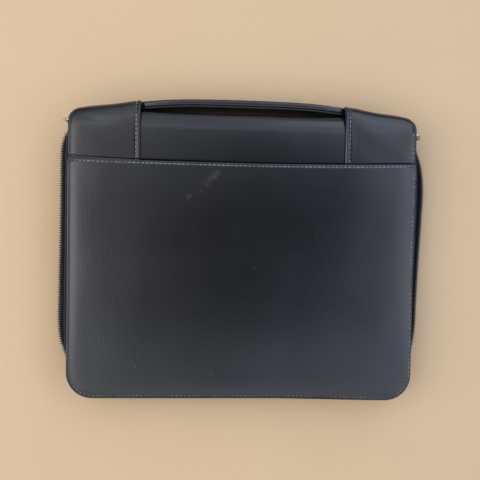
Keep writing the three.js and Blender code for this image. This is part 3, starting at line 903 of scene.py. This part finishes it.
def tooth_form(levels, wide, deep):
    """Rings of eight points with cut corners, stacked along the third axis."""
    shape = np.array([(1, -1), (1, 1), (1, 1), (-1, 1), (-1, 1), (-1, -1), (-1, -1), (1, -1)], float)
    cut = np.array([(0, 1), (0, -1), (-1, 0), (1, 0), (0, -1), (0, 1), (1, 0), (-1, 0)]) * TOOTH_CUT
    rings = [(shape + cut) * (w, d) for w, d in zip(wide, deep)]
    return np.array([np.column_stack([ring, np.full(8, level)]) for ring, level in zip(rings, levels)])


def ring_faces(rings, sides, first):
    index = np.arange(rings * sides).reshape(rings, sides) + first
    beside = np.roll(index, -1, axis=1)
    walls = np.stack([index[:-1], beside[:-1], beside[1:], index[1:]], axis=-1)
    return [*walls.reshape(-1, 4).tolist(), index[0, ::-1].tolist(), index[-1].tolist()]


def repeat_form(name, form, spots, frames, material, slot, marks=None):
    """One mesh with a ringed form at every spot: the same form at all, or one for each."""
    rings, sides = form.shape[-3:-1]
    flat = np.broadcast_to(form, (len(spots), rings, sides, 3)).reshape(len(spots), -1, 3)
    copies = spots[:, None] + np.einsum("nvk,nkc->nvc", flat, frames)
    faces = []
    for copy in range(len(spots)):
        faces += ring_faces(rings, sides, copy * rings * sides)
    return make_piece(name, copies.reshape(-1, 3), faces, material, slot=slot, marks=marks)


def zip_teeth():
    """Interlocked teeth, each a leg with a head past the middle. At the left the chain is pulled
    open a little, so the legs show thinner and the teeth alternate."""
    levels = [-1.1, -0.9, 0.3, 0.8, 2.8, CHAIN_HALF_HEIGHT]
    wide = [0.45, 0.7, 0.7, 0.62, 0.62, 0.45]
    half = CHAIN_THICKNESS / 2
    spots, ahead, out = chain_line(TOOTH_PITCH / 2)
    up = np.tile((0.0, 0.0, 1.0), (len(spots), 1))
    up[1::2] *= -1
    at_left = spots[:, :1] < 0
    spots = spots + out * TOOTH_STAGGER * up[:, 2:] * at_left
    frames = np.stack([ahead, out, up], axis=1)
    thin = tooth_form(levels, wide, [0.8, 1.1, 1.1, half, half, 1])
    thin[:3, :, 1] -= LEG_SHIFT
    full = tooth_form(levels, wide, [1, 1.4, half, half, half, 1])
    teeth = np.where(at_left[..., None, None], thin, full)
    piece = repeat_form("zip_teeth", teeth, spots, frames, PLASTIC, "zip_teeth")
    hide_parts("zip_chain")


def slider_rows():
    """Depths along the slider, with the chain's bulge and its middle height there."""
    start, end = SLIDER_DEPTHS
    depth = np.r_[start + ROUND_STEPS, start + SLIDER_ROWS, end - ROUND_STEPS[::-1]]
    return depth, curve_through(RIM_DEPTH, RIM_RIGHT, depth), rim_room(depth)[1]


def slider_channel():
    """Plate of the slider with a lip above and below that reaches over the chain."""
    depth, bulge, middle = slider_rows()
    half = SLIDER_HALF_HEIGHT - SLIDER_PLATE / 2
    out = GAP + SLIDER_PLATE / 2
    turn = np.linspace(0, math.pi / 2, 6)
    bend_x = out - SLIDER_BEND * (1 - np.sin(turn))
    bend_height = SLIDER_BEND * (1 - np.cos(turn)) - half
    line_x = np.r_[ROUND_STEPS - SLIDER_LIP, bend_x, out]
    line_height = np.r_[np.full_like(ROUND_STEPS, -half), bend_height, -SLIDER_FLAT]
    line = np.column_stack([line_x, line_height])
    line = np.concatenate([line, line[::-1] * (1, -1)])
    run = run_along(line)
    from_ends = np.minimum(depth - depth[0], depth[-1] - depth)
    rounded = roundness(np.minimum(run, run[-1] - run), EDGE_ROUND)
    share = rounded * roundness(from_ends, EDGE_ROUND)[:, None]
    off = -left_of(line) * SLIDER_PLATE / 2

    def spread(sign):
        flat = line[None] + sign * off[None] * share[..., None]
        reach = HALF_WIDTH + bulge[:, None] + flat[..., 0]
        return place(reach, depth[:, None], middle[:, None] + flat[..., 1])

    body = make_shell("slider_channel", spread(1), spread(-1), PLASTIC, slot="zip_teeth")
    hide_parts("zip_slider")


def slider_pull():
    """Flat tongue that hangs from the slider, with a raised rib near its end."""
    depth, bulge, middle = slider_rows()
    steps = np.array([0, 0.06, 0.24, 0.5, 0.8])
    width = (PULL["to"] - PULL["from"]) / 2
    length = (PULL["top"] - PULL["bottom"]) / 2
    across = both_sides(width, steps, 4)[None]
    drop = both_sides(length, steps, 16)[:, None]
    taper = 1 - 0.25 * smoothstep(drop, 0, length)
    inside = np.minimum(width - np.abs(across), length - np.abs(drop))
    rib = 0.25 * ridge(drop, -length * 0.55, 2.2) * smoothstep(inside, 0.5, 1.2)
    thick = PULL["wall"] / 2 * roundness(inside, PULL["wall"] / 2)
    centre = (PULL["from"] + PULL["to"]) / 2
    face = HALF_WIDTH + np.interp(centre, depth, bulge) + GAP + (SLIDER_PLATE + PULL["wall"]) / 2
    level = np.interp(centre, depth, middle) + (PULL["top"] + PULL["bottom"]) / 2
    front = place(face + thick + rib, centre + across * taper, level + drop)
    back = place(face - thick, centre + across * taper, level + drop)
    make_shell("slider_pull", front, back, PLASTIC, slot="zip_teeth")


# Rings and their loops

def ring_pivot(side):
    joint = next(joint for joint in frame["joints"] if joint["child"] == "ring_" + side)
    return (np.array(joint["pos_m"]) - ZIPPED_EDGE) / MM


def ring_line():
    """Middle line of the wire: a straight bar, two small bends and a bow, as reach and height."""
    straight = RING_HALF_HEIGHT - RING_FILLET
    bow = RING_REACH - RING_FILLET
    turn = np.linspace(math.pi, math.pi / 2, 7)[1:]
    swing = np.linspace(math.pi / 2, 0, 25)[1:]
    bar = np.column_stack([np.zeros(7), np.linspace(0, straight, 7)])
    bend = np.array([RING_FILLET, straight]) + RING_FILLET * np.column_stack([np.cos(turn), np.sin(turn)])
    curve = np.column_stack([RING_FILLET + bow * np.cos(swing), RING_HALF_HEIGHT * np.sin(swing)])
    upper = np.concatenate([bar, bend, curve])
    return np.concatenate([upper, upper[-2:0:-1] * (1, -1)])


def d_ring(side):
    line = ring_line()
    ahead = unit(np.roll(line, -1, axis=0) - np.roll(line, 1, axis=0))
    angle = np.linspace(0, math.tau, 17)
    across = RING_WIRE * np.cos(angle)
    reach = line[:, :1] + ahead[:, 1:] * across
    height = line[:, 1:] - ahead[:, :1] * across
    lift = RING_WIRE * np.sin(angle)
    turn = math.radians(RING_TURNS[side])
    x = reach * math.cos(turn) - lift * math.sin(turn)
    depth = reach * math.sin(turn) + lift * math.cos(turn)
    skin = ring_pivot(side) + place(x, depth, height)
    skin = np.concatenate([skin, skin[:1]])
    faces = grid_faces(*skin.shape[:2])
    name = "ring_wire_" + side
    piece = make_piece(name, skin.reshape(-1, 3), faces, CHROME, body="ring_" + side, slot="ring_metal")
    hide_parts("d_ring_" + side)


def ring_loop(side):
    """Leather strip folded round the ring's bar, with both ends on the inside of the spine."""
    sign = -1 if side == "left" else 1
    pivot = ring_pivot(side)
    top = COVER_DEPTH - COVER_WALL - GAP - LOOP_WALL / 2 - pivot[1]
    low = top - LOOP_WALL
    radius = RING_WIRE + GAP + LOOP_WALL / 2
    tail = np.array([*ROUND_STEPS, 4, 8, 12]) - LOOP_TAIL
    turn = np.radians(np.linspace(*LOOP_EYE_ANGLES, 40))
    eye = np.column_stack([radius * np.cos(turn), radius * np.sin(turn)])
    share = np.linspace(0, 1, 10)[1:-1, None]
    over = soft_bend(np.array([-9, top]), np.array([-2.2, top]), eye[0], share)
    under = soft_bend(eye[-1], np.array([-4, low]), np.array([-10, low]), share)
    upper = np.column_stack([tail, np.full_like(tail, top)])
    lower = np.column_stack([tail[::-1], np.full_like(tail, low)])
    line = np.concatenate([upper, over, eye, under, lower])
    normal = left_of(line)
    run = run_along(line)
    height = both_sides(LOOP_HEIGHT / 2, ROUND_STEPS, 6)[None]
    inside = LOOP_HEIGHT / 2 - np.abs(height)
    ends = np.minimum(run, run[-1] - run)[:, None]
    rounded = np.minimum(roundness(inside, EDGE_ROUND), roundness(ends, EDGE_ROUND))
    thick = (LOOP_WALL / 2 - LOOP_SLACK) * rounded

    def spread(way):
        x = sign * (line[:, :1] + way * normal[:, :1] * thick)
        return pivot + place(x, line[:, 1:] + way * normal[:, 1:] * thick, height)

    piece = make_shell("loop_leather_" + side, spread(1), spread(-1), LEATHER)
    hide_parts("ring_loop_" + side)


# Stitches

def stitch_form():
    """One stitch from needle hole to needle hole, and how far each of its rings lies in a hole."""
    half = np.array([0, 0.5, 0.95, 1.25, 1.42, 1.5, 1.85, 2]) * STITCH_PITCH / 4
    wide = np.array([1, 1, 0.92, 0.7, 0.5, 0.72, 0.72, 0.3]) * STITCH_WIDTH / 2
    high = np.array([1, 0.98, 0.85, 0.5, 0.2, 0.1, 0.1, 0.06]) * STITCH_HEIGHT / 2
    hole = np.array([0, 0, 0, 0.15, 1, 1, 1, 1])
    along = np.r_[-half[:0:-1], half]
    wide, high, hole = (np.r_[values[:0:-1], values] for values in (wide, high, hole))
    angle = np.linspace(0, math.tau, 9)[:-1]
    across = np.cos(angle) * wide[:, None] + 0.05 * along[:, None]
    level = np.sin(angle) * high[:, None] + 0.5 * high[:, None]
    return place(across, level, along[:, None]), np.repeat(hole, len(angle))


def stitch_row(name, line, normals):
    """Even stitches along a dense line, with one upward direction for all or one for each point."""
    run = run_along(line)
    count = int(run[-1] // STITCH_PITCH)
    stops = run[-1] * (np.arange(count) + 0.5) / count
    ahead = unit(points_at(stops + 1, run, line) - points_at(stops - 1, run, line))
    normals = np.broadcast_to(np.asarray(normals, float), line.shape)
    side = unit(np.cross(points_at(stops, run, normals), ahead))
    frames = np.stack([side, np.cross(ahead, side), ahead], axis=1)
    form, hole = stitch_form()
    marks = {"hole": np.tile(hole, count)}
    repeat_form(name, form, points_at(stops, run, line), frames, THREAD, "zip_tape", marks)


def pocket_stitches():
    x, depth = pocket_seam(STITCH_INSET)
    closer = edge_distance(x, depth) * (1 - STITCH_INSET / seam_distance(x, depth))
    arc = np.clip((CORNER_RADIUS - depth) / CORNER_RADIUS, 0, 1)
    x = x + np.sign(x) * closer * np.sqrt(1 - arc**2)
    depth = depth - closer * arc
    shown = depth < POCKET_MOUTH - 1
    line = place(x, depth, pocket_top(x, depth))[shown]
    stitch_row("pocket_edge_stitches", line, (0, 0, 1))
    across = np.linspace(-HALF_WIDTH + 5, HALF_WIDTH - 5, 120)
    along = pocket_mouth(across) - MOUTH["inset"]
    line = place(across, along, pocket_top(across, along))
    stitch_row("pocket_mouth_stitches", line, (0, 0, 1))


def tab_stitches(name, side):
    hem = np.linspace(TAB_START + 2, TAB_END - 2, 160)
    edge = np.linspace(TAB_START + 2, PATH_BACK + 2, 120)
    hem_x = np.full_like(hem, TAB_X[0] + HEM["inset"])
    edge_x = half_width(wrap_side(edge)[0]) - STITCH_INSET
    for row, path, x in (("_hem_stitches", hem, hem_x), ("_side_stitches", edge, edge_x)):
        line = tab_point(side, path, x, TAB_WALL + tab_profile(path, x))
        stitch_row(name + row, line, wrap_normal(path))


def gusset_stitches(name, upside):
    along = np.arange(2, RIM_LENGTH - 2, 1.0)
    spot, outward, bulge = rim_frame(along)
    half, middle = rim_room(spot[:, 1])
    flat = np.array([rim_slant(*sizes)(GUSSET_SEAM, GUSSET_WALL / 2) for sizes in zip(half, bulge)])
    line = spot + outward * flat[:, :1] + place(0, 0, middle + upside * flat[:, 1])
    stitch_row(name + "_stitches", line, unit(outward + (0, 0, 0.5 * upside)))


def front_stitches():
    corner = CORNER_RADIUS - STITCH_INSET
    x, depth = round_three_sides(STITCH_INSET, COVER_DEPTH - 14, corner, 79, 24, 98)
    stitch_row("front_cover_stitches", place(x, depth, 0.35), (0, 0, -1))


# Building

cover_wrap()
back_pocket()
for tab_name, tab_side in (("tab_left", -1), ("tab_right", 1)):
    tab(tab_name, tab_side)
    tab_stitches(tab_name, tab_side)
handle_layer("handle_face", 1)
handle_layer("handle_back", -1)
for half_name, turned in (("upper", 1), ("lower", -1)):
    rim_strip("gusset_" + half_name, turned, GUSSET_WALL, gusset_section, GUSSET_LEATHER, "leather")
    rim_strip("zip_tape_" + half_name, turned, TAPE_WALL, tape_section, TAPE, "zip_tape")
    gusset_stitches("gusset_" + half_name, turned)
zip_teeth()
slider_channel()
slider_pull()
for ring_side in ("left", "right"):
    d_ring(ring_side)
    ring_loop(ring_side)
pocket_stitches()
front_stitches()


# Floor, light and camera

def floor_material():
    material, tree = new_material("floor_paper")
    where = object_place(tree)
    fibres = noise(tree, object_place(tree, (1, 0.35, 1)), 260, 4, 0.6)
    clouds = noise(tree, where, 9, 3)
    fine = math_node(tree, "MULTIPLY", fibres, 0.4)
    tone = math_node(tree, "ADD", fine, math_node(tree, "MULTIPLY", clouds, 0.6))
    colour = mix_colour(tree, tone, (0.518, 0.37, 0.219, 1), (0.567, 0.41, 0.244, 1))
    return dress(material, Base_Color=colour, Roughness=0.85, Normal=bump(tree, clouds, 0.002, 0.3))


FLOOR_HALF = 2.0
FLOOR_DROP = 0.0004


def floor():
    half = FLOOR_HALF
    mesh = bpy.data.meshes.new("floor")
    corners = [(-half, -half, 0), (half, -half, 0), (half, half, 0), (-half, half, 0)]
    mesh.from_pydata(corners, [], [(0, 1, 2, 3)])
    mesh.materials.append(floor_material())
    ground = new_object("floor", mesh)
    ground.location.z = -FLOOR_DROP


# Rings of soft panels round the bag, each with its elevation in degrees and the size of its panels.
# A panel has its azimuth from +X in degrees, its power in watts and its tint.
TINTS = {
    "left": (1, 0.98, 0.98), "right": (0.72, 0.81, 1), "back": (0.83, 0.88, 1), "front": (0.88, 0.92, 1),
    "warm": (1, 0.95, 0.88),
}
PANEL_DISTANCE = 1.5
RINGS = [
    (72, 0.8, [(120, 0.75, "front"), (180, 0.3, "front")]),
    (55, 0.9, [
        (30, 2.9, "right"), (60, 2.3, "right"), (90, 0.6, "back"),
        (120, 2.2, "back"), (150, 2.8, "left"), (180, 4.8, "left"), (210, 3, "front"),
        (240, 1.7, "front"), (270, 1.3, "front"), (300, 2, "right"),
    ]),
    (51, 0.9, [(0, 3.1, "right"), (330, 2.1, "right")]),
    (32, 0.9, [
        (0, 2.4, "right"), (60, 4.4, "right"), (90, 1.8, "back"), (120, 1.4, "back"), (150, 0.4, "left"),
        (180, 4.5, "left"), (210, 1.4, "warm"), (240, 1.1, "warm"), (270, 1, "warm"), (300, 0.8, "warm"),
        (330, 2, "right"),
    ]),
    (12, 0.9, [
        (45, 0.5, "right"), (90, 1.3, "back"), (180, 1, "left"), (225, 0.6, "left"), (270, 0.5, "warm"),
    ]),
]


def panel(elevation, size, azimuth, power, tint):
    data = bpy.data.lights.new(f"panel_{elevation}_{azimuth}", "AREA")
    data.shape = "DISK"
    data.size = size
    data.energy = power
    data.color = TINTS[tint]
    lamp = new_object(data.name, data)
    rise, turn = math.radians(elevation), math.radians(azimuth)
    away = PANEL_DISTANCE * math.cos(rise)
    lamp.location = (away * math.cos(turn), away * math.sin(turn), PANEL_DISTANCE * math.sin(rise))
    lamp.rotation_euler = (-lamp.location).to_track_quat("-Z", "Y").to_euler()


def lights():
    for elevation, size, panels in RINGS:
        for values in panels:
            panel(elevation, size, *values)
    world = bpy.data.worlds.new("room")
    world.use_nodes = True
    backdrop = world.node_tree.nodes["Background"]
    backdrop.inputs["Color"].default_value = (1, 0.98, 0.96, 1)
    backdrop.inputs["Strength"].default_value = 0.01
    bpy.context.scene.world = world


# Camera: its place in metres, its turn in degrees, and lens and sensor in millimetres
CAMERA_PLACE = (-0.0483, 0.0173, 0.6442)
CAMERA_TURN = (-0.74, -4.10, 1.04)
CAMERA_LENS = 49.2
CAMERA_SENSOR = 36


def camera():
    data = bpy.data.cameras.new("camera")
    data.sensor_width = CAMERA_SENSOR
    data.lens = CAMERA_LENS
    eye = new_object("camera", data)
    eye.location = CAMERA_PLACE
    eye.rotation_euler = [math.radians(angle) for angle in CAMERA_TURN]
    bpy.context.scene.camera = eye


floor()
lights()
camera()
bpy.context.scene.view_settings.view_transform = "Standard"
